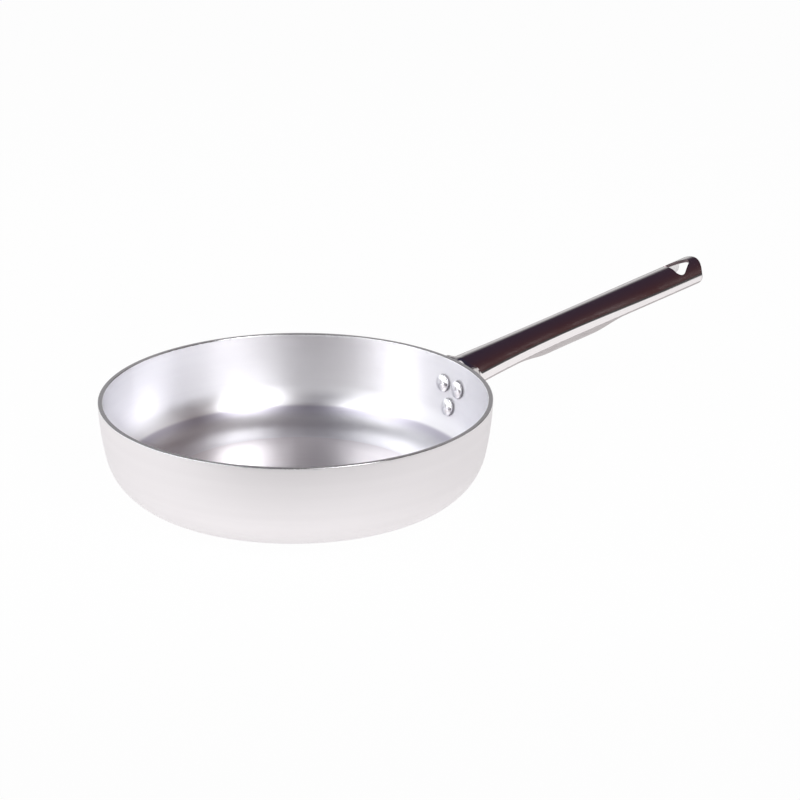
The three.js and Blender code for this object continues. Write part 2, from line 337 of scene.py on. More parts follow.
@dataclass(frozen=True)
class Finish:
    """What every metal finish here has: a tone that wanders, fine relief, and an edge mark of wear or
    painted shade.
    """

    name: str
    colour: Colour
    shade: Colour
    rough: Span
    depth: float
    # The edge mark's colour and roughness: worn metal on the pan, painted shade where a finish sets it dark.
    wear_and_shade_colour: Colour = (0.93, 0.93, 0.94)
    wear_and_shade_rough: float = 0.16
    tone_span: Span = (0.36, 0.64)

    def pattern(self, sheet: NodeSheet, groups: EffectGroups, place: Socket) -> Node:
        """Return the node that puts out the finish's Height and Tone."""
        raise NotImplementedError

    def tint(self, sheet: NodeSheet, colour: Socket) -> Socket:
        """Return the colour with what only this kind of finish does to it."""
        return colour

    def tune(self, sheet: NodeSheet, shader: Node) -> None:
        """Set what only this kind of finish sets on the shader."""

    def material(self, groups: EffectGroups) -> bpy.types.Material:
        """Make the material.

        Args:
            groups: The shared node groups.

        Returns:
            A metal with the finish's pattern in its colour, roughness and relief.
        """
        material = bpy.data.materials.new(self.name)
        material.use_nodes = True
        sheet = NodeSheet(material.node_tree)
        place = sheet.add("ShaderNodeTexCoord").outputs["Object"]
        pattern = self.pattern(sheet, groups, place)
        # The edge mark: wear on the pan's rim, painted shade on the handle's crease and cut edges and on the
        # rivets' feet.
        wear_and_shade = sheet.add("ShaderNodeAttribute", attribute_name=WEAR_AND_SHADE_LAYER).outputs["Fac"]
        edges = sheet.add("ShaderNodeGroup", {"Vector": place, "Wear and shade": wear_and_shade}, node_tree=groups.edge_wear_and_shade)
        wear_and_shade_mask = edges.outputs["Mask"]
        tone = sheet.remap(pattern.outputs["Tone"], self.tone_span)
        colour = sheet.blend(tone, opaque(self.colour), opaque(self.shade))
        colour_with_wear_and_shade = sheet.blend(wear_and_shade_mask, colour, opaque(self.wear_and_shade_colour))
        rough = sheet.remap(tone, (0.0, 1.0), self.rough)
        change = sheet.math("SUBTRACT", self.wear_and_shade_rough, rough)
        bump = sheet.add("ShaderNodeBump", {"Distance": self.depth, "Height": pattern.outputs["Height"]})
        shader = sheet.add("ShaderNodeBsdfPrincipled", {
            "Base Color": self.tint(sheet, colour_with_wear_and_shade),
            "Metallic": 1.0,
            "Roughness": sheet.math("MULTIPLY_ADD", wear_and_shade_mask, change, rough),
            "Normal": bump.outputs[0],
        })
        self.tune(sheet, shader)
        sheet.add("ShaderNodeOutputMaterial", {"Surface": shader.outputs[0]})
        return material


@dataclass(frozen=True)
class SpunFinish(Finish):
    """Aluminium worked on a lathe: rings about Z, and a highlight drawn out across them."""

    pitch: float = 2600.0
    stretch: float = 0.5
    stretch_turn: float = 0.25
    # The colour painted into the inside corner's band as shade, if the finish has one.
    corner_shade_colour: Colour | None = None

    def pattern(self, sheet: NodeSheet, groups: EffectGroups, place: Socket) -> Node:
        """Return the tool lines at this finish's pitch."""
        inputs = {"Vector": place, "Pitch": self.pitch}
        return sheet.add("ShaderNodeGroup", inputs, node_tree=groups.tool_lines)

    def tint(self, sheet: NodeSheet, colour: Socket) -> Socket:
        """Paint the shade of the pan's inside corner into the colour.

        Args:
            sheet: The material's sheet.
            colour: The finish's colour.

        Returns:
            The colour, darkened by the piece's attribute towards the painted corner shade, if the finish has
            one.
        """
        if self.corner_shade_colour is None:
            return colour
        corner_shade = sheet.add("ShaderNodeAttribute", attribute_name=CORNER_SHADE_LAYER).outputs["Fac"]
        return sheet.blend(corner_shade, colour, opaque(self.corner_shade_colour))

    def tune(self, sheet: NodeSheet, shader: Node) -> None:
        """Draw the highlight out across the rings.

        Args:
            sheet: The material's sheet.
            shader: The material's shader.
        """
        tangent = sheet.add("ShaderNodeTangent", direction_type="RADIAL", axis="Z")
        sheet.tree.links.new(tangent.outputs[0], shader.inputs["Tangent"])
        shader.inputs["Anisotropic"].default_value = self.stretch
        shader.inputs["Anisotropic Rotation"].default_value = self.stretch_turn


@dataclass(frozen=True)
class PolishedFinish(Finish):
    """Metal polished on a belt, with grain along X where along is less than across."""

    along: float = 160.0
    across: float = 1300.0

    def pattern(self, sheet: NodeSheet, groups: EffectGroups, place: Socket) -> Node:
        """Return the belt's grain at this finish's pace."""
        inputs = {"Vector": place, "Along": self.along, "Across": self.across}
        return sheet.add("ShaderNodeGroup", inputs, node_tree=groups.polish_grain)


PAN_FINISHES = {
    PanFace.OUTSIDE: SpunFinish(
        name="satin_outside",
        colour=(0.915, 0.885, 0.895),
        shade=(0.905, 0.875, 0.885),
        rough=(0.42, 0.44),
        depth=0.001 * MM,
        stretch=0.3,
    ),
    PanFace.INSIDE: SpunFinish(
        name="turned_inside",
        colour=(0.97, 0.97, 0.99),
        shade=(0.95, 0.95, 0.975),
        rough=(0.34, 0.38),
        depth=0.008 * MM,
        # Painted shade: a dark band round the inside corner.
        corner_shade_colour=(0.60, 0.585, 0.66),
    ),
    PanFace.RIM: SpunFinish(
        name="cut_rim",
        colour=(0.90, 0.90, 0.92),
        shade=(0.84, 0.84, 0.86),
        rough=(0.40, 0.48),
        depth=0.01 * MM,
        pitch=5200.0,
    ),
    PanFace.BASE: SpunFinish(
        name="turned_base",
        colour=(0.82, 0.82, 0.83),
        shade=(0.74, 0.74, 0.76),
        rough=(0.34, 0.46),
        depth=0.04 * MM,
        pitch=1400.0,
    ),
}
HANDLE_FINISHES = {
    HandleFace.CROWN: PolishedFinish(
        name="polished_crown",
        colour=(0.99, 0.95, 0.95),
        shade=(0.96, 0.92, 0.92),
        rough=(0.12, 0.17),
        depth=0.005 * MM,
        # Painted shade: a near-black line along the crease above the curl and along the cut edges.
        wear_and_shade_colour=(0.22, 0.17, 0.18),
        wear_and_shade_rough=0.3,
    ),
    HandleFace.CURL: PolishedFinish(
        name="curl_painted_shade",
        # Painted shade: darker than the crown, for the shaded floor that the curl mirrors under the handle.
        colour=(0.61, 0.575, 0.575),
        shade=(0.55, 0.51, 0.51),
        rough=(0.24, 0.36),
        depth=0.012 * MM,
        wear_and_shade_colour=(0.70, 0.67, 0.66),
        wear_and_shade_rough=0.2,
    ),
    HandleFace.INNER: PolishedFinish(
        name="drawn_inner",
        colour=(0.90, 0.88, 0.88),
        shade=(0.84, 0.82, 0.82),
        rough=(0.24, 0.36),
        depth=0.012 * MM,
        wear_and_shade_colour=(0.70, 0.67, 0.66),
        wear_and_shade_rough=0.2,
    ),
}
RIVET_FINISH = PolishedFinish(
    name="polished_rivet",
    colour=(0.90, 0.90, 0.91),
    shade=(0.85, 0.85, 0.87),
    rough=(0.12, 0.17),
    depth=0.003 * MM,
    # Painted shade: a dark outline round the head's foot, against the wall.
    wear_and_shade_colour=(0.5, 0.49, 0.51),
    wear_and_shade_rough=0.4,
    along=700.0,
    across=700.0,
)


@dataclass(frozen=True)
class WallSpot:
    """A place on the pan's wall above +X: radius, height, and lean from upright."""

    radius: float
    height: float
    lean: float

    @property
    def point(self) -> Vector:
        """The place itself."""
        return Vector((self.radius, 0.0, self.height))

    @property
    def inward(self) -> Vector:
        """The direction off the wall into the pan."""
        return Vector((-math.cos(self.lean), 0.0, math.sin(self.lean)))


@dataclass(frozen=True)
class PanWall:
    """The wall's section: a shallow arc below the rim that runs into the corner's arc."""

    rim_radius: float
    height: float
    sheet: float = 3 * MM
    rim_lean: float = math.radians(2.2)
    wall_radius: float = 188 * MM
    corner_radius: float = 35 * MM

    @classmethod
    def of_node(cls, node: str) -> "PanWall":
        """Return the wall whose rim and height are those of a node."""
        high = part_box(node)[1]
        return cls(rim_radius=high.x, height=high.z)

    @cached_property
    def wall_centre(self) -> Vector:
        """The centre of the wall's arc."""
        reach = self.wall_radius * math.cos(self.rim_lean)
        rise = self.wall_radius * math.sin(self.rim_lean)
        return Vector((self.rim_radius - reach, 0.0, self.height + rise))

    @cached_property
    def join_lean(self) -> float:
        """The lean where the wall's arc meets the corner's."""
        return math.asin((self.wall_centre.z - self.corner_radius) / (self.wall_radius - self.corner_radius))

    @cached_property
    def corner_centre(self) -> Vector:
        """The centre of the corner's arc, above the edge of the flat base."""
        reach = (self.wall_radius - self.corner_radius) * math.cos(self.join_lean)
        return Vector((self.wall_centre.x + reach, 0.0, self.corner_radius))

    def at(self, height: float, out: float) -> WallSpot:
        """Find a place on the wall.

        Args:
            height: Its height.
            out: How far beyond the outer face it lies.

        Returns:
            The place.
        """
        centre, radius = self.wall_centre, self.wall_radius + out
        if math.asin((centre.z - height) / radius) > self.join_lean:
            centre, radius = self.corner_centre, self.corner_radius + out
        lean = math.asin((centre.z - height) / radius)
        return WallSpot(centre.x + radius * math.cos(lean), height, lean)


class SectionLine:
    """A section drawn as one chain of edges in the plane of X and Z, and then spun about Z."""

    def __init__(self, mesh: bmesh.types.BMesh, x: float, z: float) -> None:
        """Start the chain at a place."""
        self.mesh = mesh
        self.tip = mesh.verts.new((x, 0.0, z))

    def line(self, x: float, z: float) -> None:
        """Draw a straight edge to a place."""
        self.tip = bmesh.ops.extrude_vert_indiv(self.mesh, verts=[self.tip])["verts"][0]
        self.tip.co = (x, 0.0, z)

    def arc(self, centre: Vector, turn: float, steps: int) -> None:
        """Draw an arc.

        Args:
            centre: Its centre.
            turn: Its angle, positive from +X towards +Z.
            steps: Its number of edges.
        """
        made = bmesh.ops.spin(
            self.mesh, geom=[self.tip], cent=centre, axis=(0.0, -1.0, 0.0), angle=turn, steps=steps)
        self.tip = next(part for part in made["geom_last"] if isinstance(part, bmesh.types.BMVert))

    def spin(self, sides: int) -> None:
        """Turn the chain into a closed, outward-facing shell about Z.

        Args:
            sides: The number of steps round it.
        """
        chain = [*self.mesh.verts, *self.mesh.edges]
        bmesh.ops.spin(
            self.mesh, geom=chain, cent=(0.0, 0.0, 0.0), axis=(0.0, 0.0, 1.0),
            angle=math.tau, steps=sides, use_merge=True)
        bmesh.ops.remove_doubles(self.mesh, verts=self.mesh.verts, dist=MERGE_DISTANCE)
        bmesh.ops.recalc_face_normals(self.mesh, faces=self.mesh.faces)


def make_object(name: str, mesh: bmesh.types.BMesh, materials: list[bpy.types.Material]) -> bpy.types.Object:
    """Turn a finished bmesh into a smooth-shaded object at the origin.

    Args:
        name: The object's name.
        mesh: The bmesh, which is freed.
        materials: Its materials, by material index.

    Returns:
        The object, linked to the scene.
    """
    data = bpy.data.meshes.new(name)
    for face in mesh.faces:
        face.smooth = True
    mesh.to_mesh(data)
    mesh.free()
    for material in materials:
        data.materials.append(material)
    made = bpy.data.objects.new(name, data)
    bpy.context.scene.collection.objects.link(made)
    return made


def seat(piece: bpy.types.Object, node: str) -> bpy.types.Object:
    """Put a piece in a node's place on the frame and report it.

    Args:
        piece: The piece.
        node: The node that it stands for.

    Returns:
        The piece.
    """
    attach(piece, BODY)
    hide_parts(node)
    LOG.info("%s stands for %s: %d faces", piece.name, node, len(piece.data.polygons))
    return piece


@dataclass
class PanBody:
    """The spun pan: one sheet with a flat base, round corner, bellied wall and cut rim."""

    wall: PanWall
    groups: EffectGroups
    node: str = "pan_body"
    rim_round: float = 0.35 * MM
    rub_reach: float = 1.6 * MM
    # Heights over which the painted shade of the inside corner rises and falls.
    corner_shade_rise: Span = (8 * MM, 14 * MM)
    corner_shade_fall: Span = (14.5 * MM, 16.5 * MM)
    level_tilt: float = 0.9999
    sides: int = 288
    corner_steps: int = 60
    wall_steps: int = 22
    round_steps: int = 3

    @property
    def top(self) -> float:
        """The height above which a vertex counts as part of the flat rim."""
        return self.wall.height - MERGE_DISTANCE

    def _section(self, mesh: bmesh.types.BMesh) -> SectionLine:
        """Draw the sheet's section.

        Args:
            mesh: The bmesh to draw it in.

        Returns:
            The chain from the middle of the base, over the rim, to the middle of the floor.
        """
        wall = self.wall
        inner_rim = wall.at(wall.height, -wall.sheet)
        corner_turn = QUARTER - wall.join_lean
        line = SectionLine(mesh, 0.0, 0.0)
        line.line(wall.corner_centre.x, 0.0)
        line.arc(wall.corner_centre, corner_turn, self.corner_steps)
        line.arc(wall.wall_centre, wall.join_lean - wall.rim_lean, self.wall_steps)
        line.line(inner_rim.radius, wall.height)
        line.arc(wall.wall_centre, inner_rim.lean - wall.join_lean, self.wall_steps)
        line.arc(wall.corner_centre, -corner_turn, self.corner_steps)
        line.line(0.0, wall.sheet)
        return line

    def _break_rim(self, mesh: bmesh.types.BMesh) -> None:
        """Round both edges of the cut rim.

        Args:
            mesh: The spun pan.
        """
        flat = {face for face in mesh.faces if all(vert.co.z > self.top for vert in face.verts)}
        edges = [edge for edge in mesh.edges if len(flat.intersection(edge.link_faces)) == 1]
        bmesh.ops.bevel(
            mesh, geom=edges, offset=self.rim_round, affect="EDGES", segments=self.round_steps,
            profile=0.5, material=-1)

    def _face(self, face: bmesh.types.BMFace) -> PanFace:
        """Tell the pan's worked faces apart.

        Args:
            face: A face of the mesh.

        Returns:
            The worked face that it is part of.
        """
        middle = face.calc_center_median()
        out = face.normal.dot(Vector((middle.x, middle.y, 0.0)).normalized())
        if middle.z > self.wall.height - self.rim_round:
            return PanFace.RIM
        if middle.z < MERGE_DISTANCE:
            return PanFace.BASE
        return PanFace.OUTSIDE if out > 0 else PanFace.INSIDE

    def _mark(self, mesh: bmesh.types.BMesh) -> None:
        """Mark the worn rim, the painted shade of the inside corner and the finishes, and keep the flat rim
        from shading into its rounds.

        Args:
            mesh: The pan with its rim rounded.
        """
        wear_and_shade = mesh.verts.layers.float.new(WEAR_AND_SHADE_LAYER)
        corner_shade = mesh.verts.layers.float.new(CORNER_SHADE_LAYER)
        for vert in mesh.verts:
            height = vert.co.z
            vert[wear_and_shade] = 1 - clamp((self.wall.height - height) / self.rub_reach)
            # Painted shade: a band that darkens the inside corner.
            vert[corner_shade] = smoothstep(height, *self.corner_shade_rise) * (1 - smoothstep(height, *self.corner_shade_fall))
        mesh.normal_update()
        for face in mesh.faces:
            face.material_index = self._face(face).value
        for edge in mesh.edges:
            level = max(face.normal.z for face in edge.link_faces) > self.level_tilt
            edge.smooth = not (level and edge.verts[0].co.z > self.top)

    def make(self) -> bpy.types.Object:
        """Build the pan, dress it and put it in its node's place.

        Returns:
            The pan.
        """
        mesh = bmesh.new()
        self._section(mesh).spin(self.sides)
        self._break_rim(mesh)
        self._mark(mesh)
        materials = [PAN_FINISHES[face].material(self.groups) for face in PanFace]
        return seat(make_object("spun_pan", mesh, materials), self.node)


@dataclass
class RivetSet:
    """Three solid rivets at the corners of an equilateral triangle: head inside, tail on the tongue."""

    wall: PanWall
    groups: EffectGroups
    tongue_sheet: float
    pitch: float = 15.8 * MM
    drop: float = 16.7 * MM
    shank_radius: float = 3 * MM
    head_radius: float = 5.9 * MM
    head_height: float = 2.6 * MM
    tail_radius: float = 5 * MM
    tail_height: float = 2.2 * MM
    edge_height: float = 0.5 * MM
    edge_round: float = 1 * MM
    foot_width: float = 0.15 * MM
    sides: int = 72
    dome_steps: int = 10
    round_steps: int = 6

    @property
    def upper_height(self) -> float:
        """The height of the two upper rivets."""
        return self.wall.height - self.drop

    @property
    def lower_height(self) -> float:
        """The height of the lower rivet."""
        return self.upper_height - self.pitch * math.sin(math.pi / 3)

    def _frame(self, place: RivetPlace) -> Matrix:
        """Find the frame of a rivet.

        Args:
            place: Which rivet it is.

        Returns:
            The frame, with its origin on the pan's inner face and +Z out through the wall.
        """
        height = self.lower_height if place is RivetPlace.LOWER else self.upper_height
        spot = self.wall.at(height, -self.wall.sheet)
        turn = Matrix.Rotation(math.asin(place.across * self.pitch / spot.radius), 4, "Z")
        return turn @ Matrix.Translation(spot.point) @ Matrix.Rotation(QUARTER + spot.lean, 4, "Y")

    def _dome(self, radius: float, height: float) -> tuple[float, float]:
        """Fit a dome whose round edge meets its upright side.

        Args:
            radius: The dome's radius at its seat.
            height: Its height over its seat.

        Returns:
            The radius of the dome's arc, and the arc's angle up to the round edge.
        """
        rise = height - self.edge_height
        reach = radius - self.edge_round
        arc = (rise ** 2 + reach ** 2 - self.edge_round ** 2) / (2 * (rise - self.edge_round))
        return arc, math.asin(reach / (arc - self.edge_round))

    def _shape(self, mesh: bmesh.types.BMesh) -> None:
        """Spin one rivet about Z: domed head below, plain shank, formed tail above.

        Args:
            mesh: The bmesh to make it in, with the head's foot marked for its painted outline of shade.
        """
        sag = self.head_radius ** 2 / (2 * (self.wall.rim_radius - self.wall.sheet))
        head_seat = -FIT_GAP - sag
        tail_seat = self.wall.sheet + self.tongue_sheet + 2 * FIT_GAP
        head_arc, head_turn = self._dome(self.head_radius, self.head_height)
        tail_arc, tail_turn = self._dome(self.tail_radius, self.tail_height)
        head_top = head_seat - self.head_height
        tail_top = tail_seat + self.tail_height
        head_edge = Vector((self.head_radius - self.edge_round, 0.0, head_seat - self.edge_height))
        tail_edge = Vector((self.tail_radius - self.edge_round, 0.0, tail_seat + self.edge_height))
        line = SectionLine(mesh, 0.0, head_top)
        line.arc(Vector((0.0, 0.0, head_top + head_arc)), head_turn, self.dome_steps)
        line.arc(head_edge, QUARTER - head_turn, self.round_steps)
        line.line(self.head_radius, head_seat)
        line.line(self.shank_radius, head_seat)
        line.line(self.shank_radius, tail_seat)
        line.line(self.tail_radius, tail_seat)
        line.line(self.tail_radius, tail_edge.z)
        line.arc(tail_edge, QUARTER - tail_turn, self.round_steps)
        line.arc(Vector((0.0, 0.0, tail_top - tail_arc)), tail_turn, self.dome_steps)
        line.spin(self.sides)
        wear_and_shade = mesh.verts.layers.float.new(WEAR_AND_SHADE_LAYER)
        for vert in mesh.verts:
            # Mark the head's foot for its painted dark outline of shade.
            vert[wear_and_shade] = float(vert.co.xy.length > self.head_radius - self.foot_width)

    def make(self) -> list[bpy.types.Object]:
        """Build the three rivets, dress them and put them in their nodes' places.

        Returns:
            The rivets.
        """
        material = RIVET_FINISH.material(self.groups)
        pieces = []
        for place in RivetPlace:
            mesh = bmesh.new()
            self._shape(mesh)
            bmesh.ops.transform(mesh, matrix=self._frame(place), verts=mesh.verts)
            piece = make_object(f"{place.node}_turned", mesh, [material])
            pieces.append(seat(piece, place.node))
        return pieces


@dataclass(frozen=True)
class Taper:
    """A grip size at the root, at the waist and at the end."""

    root: float
    waist: float
    end: float


@dataclass
class Handle:
    """The handle: one steel blank, pierced, folded to a channel and bent down to a tongue."""

    wall: PanWall
    rivets: RivetSet
    groups: EffectGroups
    node: str = "handle"
    sheet: float = 2 * MM
    edge_round: float = 0.45 * MM
    edge_steps: int = 3
    edge_angle: float = math.radians(60)
    rise: float = math.radians(10)
    drop: float = 0.2 * MM
    length: float = 195 * MM
    bend_radius: float = 5.5 * MM
    bend_fold: float = 0.6
    root_run: float = 3 * MM
    flare_run: float = 33 * MM
    width: Taper = Taper(32 * MM, 24.5 * MM, 27 * MM)
    arch: Taper = Taper(9 * MM, 7.2 * MM, 7.8 * MM)
    skirt: Taper = Taper(4 * MM, 4.2 * MM, 3 * MM)
    curl_radius: float = 6.3 * MM
    curl_most: float = math.radians(85)
    curl_least: float = math.radians(8)
    curl_start: float = 37 * MM
    curl_stop: float = 70 * MM
    tongue_width: float = 36 * MM
    neck_width: float = 30 * MM
    tip_radius: float = 10.5 * MM
    tip_spread: float = math.radians(80)
    end_bow: float = 5.2 * MM
    end_corner: float = 4 * MM
    hole_width: float = 21 * MM
    hole_length: float = 15.3 * MM
    hole_inset: float = 5.6 * MM
    hole_corner: float = 4 * MM
    hole_margin: float = 1.5 * MM
    hole_middle: float = 0.42
    hole_rings: int = 4
    columns: int = 96
    arch_share: float = 0.5
    skirt_share: float = 2 / 3
    along: Vector = field(init=False)
    above: Vector = field(init=False)
    crown_start: Vector = field(init=False)
    bend_stop: float = field(init=False)
    bend_centre: Vector = field(init=False)
    bend_spot: WallSpot = field(init=False)

    def __post_init__(self) -> None:
        """Lay out the path: the crown line, and the bend that touches both it and the wall."""
        self.along = Vector((math.cos(self.rise), 0.0, math.sin(self.rise)))
        self.above = Vector((-math.sin(self.rise), 0.0, math.cos(self.rise)))
        self.crown_start = Vector((self.wall.rim_radius, 0.0, self.wall.height - self.drop))
        reach = self.wall.wall_radius + FIT_GAP + self.bend_radius
        offset = self.crown_start - self.above * self.bend_radius - self.wall.wall_centre
        middle = offset.dot(self.along)
        self.bend_stop = math.sqrt(middle ** 2 - offset.length_squared + reach ** 2) - middle
        self.bend_centre = self.crown(self.bend_stop) - self.above * self.bend_radius
        lean = math.asin((self.wall.wall_centre.z - self.bend_centre.z) / reach)
        self.bend_spot = self.wall.at(self.bend_centre.z + self.bend_radius * math.sin(lean), FIT_GAP)

    @property
    def grip_start(self) -> float:
        """The length along the crown line where the grip starts."""
        return self.bend_stop + self.root_run

    @property
    def rows_before_grip(self) -> int:
        """The number of the blank's rows before the grip."""
        return sum(stretch.value for stretch in Stretch if stretch is not Stretch.GRIP)

    def crown(self, length: float) -> Vector:
        """Return the point of the crown line at a length from above the rim."""
        return self.crown_start + self.along * length

    def _size(self, taper: Taper, length: float) -> float:
        """Find a grip size, which narrows from root to waist and eases out to its end value.

        Args:
            taper: The size's values.
            length: Where on the crown line it is wanted.

        Returns:
            The size.
        """
        waist_at = (self.curl_start + self.length - self.curl_stop) / 2
        if length < waist_at:
            return taper.waist + (taper.root - taper.waist) * (1 - length / waist_at) ** 2
        return lerp(taper.waist, taper.end, smoothstep(length, waist_at, self.length - self.flare_run))

    def _channel(self, length: float, share: float) -> Vector:
        """Find a place on the channel's section.

        Args:
            length: Where on the crown line the section stands.
            share: How far across it lies, from -1 to 1.

        Returns:
            Distance across and depth below the crown, as X and Y.
        """
        side = math.copysign(1.0, share)
        across = abs(share)
        half = self._size(self.width, length) / 2
        arch = self._size(self.arch, length)
        skirt = self._size(self.skirt, length)
        if across <= self.arch_share:
            angle = QUARTER * across / self.arch_share
            return Vector((side * half * math.sin(angle), arch * (1 - math.cos(angle))))
        if across <= self.skirt_share:
            down = (across - self.arch_share) / (self.skirt_share - self.arch_share)
            return Vector((side * half, arch + skirt * down))
        phase = (length - self.curl_start) / (self.length - self.curl_stop - self.curl_start)
        curl = lerp(self.curl_least, self.curl_most, math.sin(math.pi * clamp(phase)) ** 2)
        angle = curl * (across - self.skirt_share) / (1 - self.skirt_share)
        return Vector((
            side * (half - self.curl_radius * (1 - math.cos(angle))),
            arch + skirt + self.curl_radius * math.sin(angle),
        ))

    def _tongue(self, spot: WallSpot, across: float) -> Vector:
        """Return a place on the tongue's section, which follows the round wall."""
        radius = spot.radius / math.cos(spot.lean)
        return Vector((across, math.sqrt(radius ** 2 - across ** 2) - radius))

    def _tongue_across(self, height: float, share: float) -> float:
        """Find how far across a place on the tongue lies.

        Args:
            height: Its height.
            share: Its share of the tongue's width, from -1 to 1.

        Returns:
            Its distance from the middle of the tongue.
        """
        spread = smoothstep(height, self.rivets.lower_height, self.rivets.upper_height)
        neck = smoothstep(height, self.rivets.upper_height, self.bend_spot.height)
        half = lerp(lerp(self.tip_radius, self.tongue_width / 2, spread), self.neck_width / 2, neck)
        return half * math.sin(self.tip_spread * share) / math.sin(self.tip_spread)

    def _pressed(self, length: float, share: float) -> Vector:
        """Find a place on the section at the bend, where the channel is pressed nearly flat.

        Args:
            length: Where on the crown line the section stands.
            share: How far across it lies, from -1 to 1.

        Returns:
            Distance across and depth below the crown, as X and Y.
        """
        room = self.bend_radius - self.sheet
        full = self._channel(length, share)
        across = self._tongue_across(self.bend_spot.height, share)
        return Vector((lerp(across, full.x, self.bend_fold), full.y * room / (full.y + room)))

    def _trim(self, length: float, place: Vector) -> float:
        """Find how far a place is drawn back, so that the grip ends bowed and round-cornered.

        Args:
            length: Where on the crown line its section stands.
            place: Its distance across and depth below the crown.

        Returns:
            The distance along the crown line.
        """
        share = max(0.0, 1 - (self.length - length) / self.flare_run)
        depth = self.arch.end + self.skirt.end + self.curl_radius * math.sin(self.curl_least)
        bow = self.end_bow * (2 * place.x / self.width.end) ** 2
        into = clamp(place.y - depth + self.end_corner, 0.0, self.end_corner)
        return share * (bow + self.end_corner - math.sqrt(self.end_corner ** 2 - into ** 2))

    def _stretch(self, row: float) -> tuple[Stretch, float]:
        """Find where along the blank a row lies.

        Args:
            row: The row, counted from the tongue's tip.

        Returns:
            The stretch that it lies in, and its share of that stretch.
        """
        left = row
        for stretch in Stretch:
            if left <= stretch.value:
                break
            left -= stretch.value
        return stretch, min(left / stretch.value, 1.0)

    def _form(self, row: float, share: float) -> Vector:
        """Move a place of the flat blank to where the press leaves it.

        Args:
            row: Its row, counted from the tongue's tip.
            share: How far across the blank it lies, from -1 to 1.

        Returns:
            Its place on the crown face of the formed handle.
        """
        stretch, part = self._stretch(row)
        if stretch in (Stretch.TIP, Stretch.TONGUE):
            low = self.rivets.lower_height
            height = lerp(low, self.bend_spot.height, part)
            if stretch is Stretch.TIP:
                height = low - (1 - part) * self.tip_radius * math.cos(self.tip_spread * share)
            spot = self.wall.at(height, FIT_GAP)
            place = self._tongue(spot, self._tongue_across(max(height, low), share))
            point, out = spot.point, spot.inward
        elif stretch is Stretch.BEND:
            angle = lerp(self.bend_spot.lean, QUARTER - self.rise, part)
            out = Vector((-math.cos(angle), 0.0, math.sin(angle)))
            point = self.bend_centre + out * self.bend_radius
            flat = self._tongue(self.bend_spot, self._tongue_across(self.bend_spot.height, share))
            place = flat.lerp(self._pressed(self.bend_stop, share), smoothstep(part, 0.0, 1.0))
        elif stretch is Stretch.ROOT:
            length = self.bend_stop + self.root_run * part
            point, out = self.crown(length), self.above
            place = self._pressed(length, share).lerp(self._channel(length, share), part)
        else:
            length = self._grip_length(part)
            place = self._channel(length, share)
            point, out = self.crown(length - self._trim(length, place)), self.above
        return point - out * place.y + Vector((0.0, place.x, 0.0))

    def _grip_length(self, part: float) -> float:
        """Return the length along the crown line at a share of the grip."""
        return lerp(self.grip_start, self.length, part)

    def _grip_row(self, length: float) -> float:
        """Return the row of the blank at a length along the grip."""
        part = (length - self.grip_start) / (self.length - self.grip_start)
        return self.rows_before_grip + Stretch.GRIP.value * part

    def _crown_share(self, length: float, across: float) -> float:
        """Return the share across the blank of a place on the arch."""
        half = self._size(self.width, length) / 2
        return self.arch_share * math.asin(clamp(across / half, -1.0, 1.0)) / QUARTER

    def _hole_corners(self) -> list[Vector]:
        """Find the centres of the hole's rounded corners.

        Returns:
            The centres, as length along the grip and distance across it.
        """
        apex = self.length - self.hole_inset - self.hole_corner
        base = self.length - self.hole_inset - self.hole_length + self.hole_corner
        half = self.hole_width / 2 - self.hole_corner
        return [Vector((apex, 0.0)), Vector((base, half)), Vector((base, -half))]

    def _hole_reach(self, centre: Vector, towards: Vector) -> Vector:
        """Find where a line from inside the hanging hole meets its outline.

        Args:
            centre: A place inside the hole.
            towards: The direction of the line.

        Returns:
            The place on the outline.
        """
        corners = self._hole_corners()
        sides = list(zip(corners, corners[1:] + corners[:1]))
        inside, outside = 0.0, self.hole_width + self.hole_length
        while outside - inside > MERGE_DISTANCE:
            reach = (inside + outside) / 2
            place = centre + towards * reach
            held = all((stop - start).cross(place - start) >= 0 for start, stop in sides)
            for start, stop in sides:
                part = intersect_point_line(place, start, stop)[1]
                near = start.lerp(stop, clamp(part))
                held = held or (near - place).length <= self.hole_corner
            inside, outside = (reach, outside) if held else (inside, reach)
        return centre + towards * inside

    def _pierce(self, mesh: bmesh.types.BMesh) -> None:
        """Take a block of cells out of the flat blank and draw its border in to the hole's outline.

        Args:
            mesh: The blank.
        """
        apex = self.length - self.hole_inset
        base = apex - self.hole_length
        low_row = self._grip_row(base - self.hole_margin)
        high_row = self._grip_row(apex + self.hole_margin)
        widest = self._crown_share(base, self.hole_width / 2 + self.hole_margin)
        block = [
            face for face in mesh.faces
            if low_row < face.calc_center_median().x < high_row
            and abs(face.calc_center_median().y) < widest
        ]
        border = [
            edge for edge in {edge for face in block for edge in face.edges}
            if len(set(edge.link_faces) - set(block)) == 1
        ]
        bmesh.ops.delete(mesh, geom=block, context="FACES")
        made = bmesh.ops.extrude_edge_only(mesh, edges=border)["geom"]
        inner = {part for part in made if isinstance(part, bmesh.types.BMVert)}
        centre = Vector((lerp(base, apex, self.hole_middle), 0.0))
        for vert in inner:
            length = self._grip_length((vert.co.x - self.rows_before_grip) / Stretch.GRIP.value)
            across = self._channel(length, vert.co.y).x
            meets = self._hole_reach(centre, (Vector((length, across)) - centre).normalized())
            vert.co = (self._grip_row(meets.x), self._crown_share(meets.x, meets.y), 0.0)
        spokes = [edge for vert in inner for edge in vert.link_edges if edge.other_vert(vert) not in inner]
        bmesh.ops.subdivide_edges(mesh, edges=spokes, cuts=self.hole_rings, use_grid_fill=True)

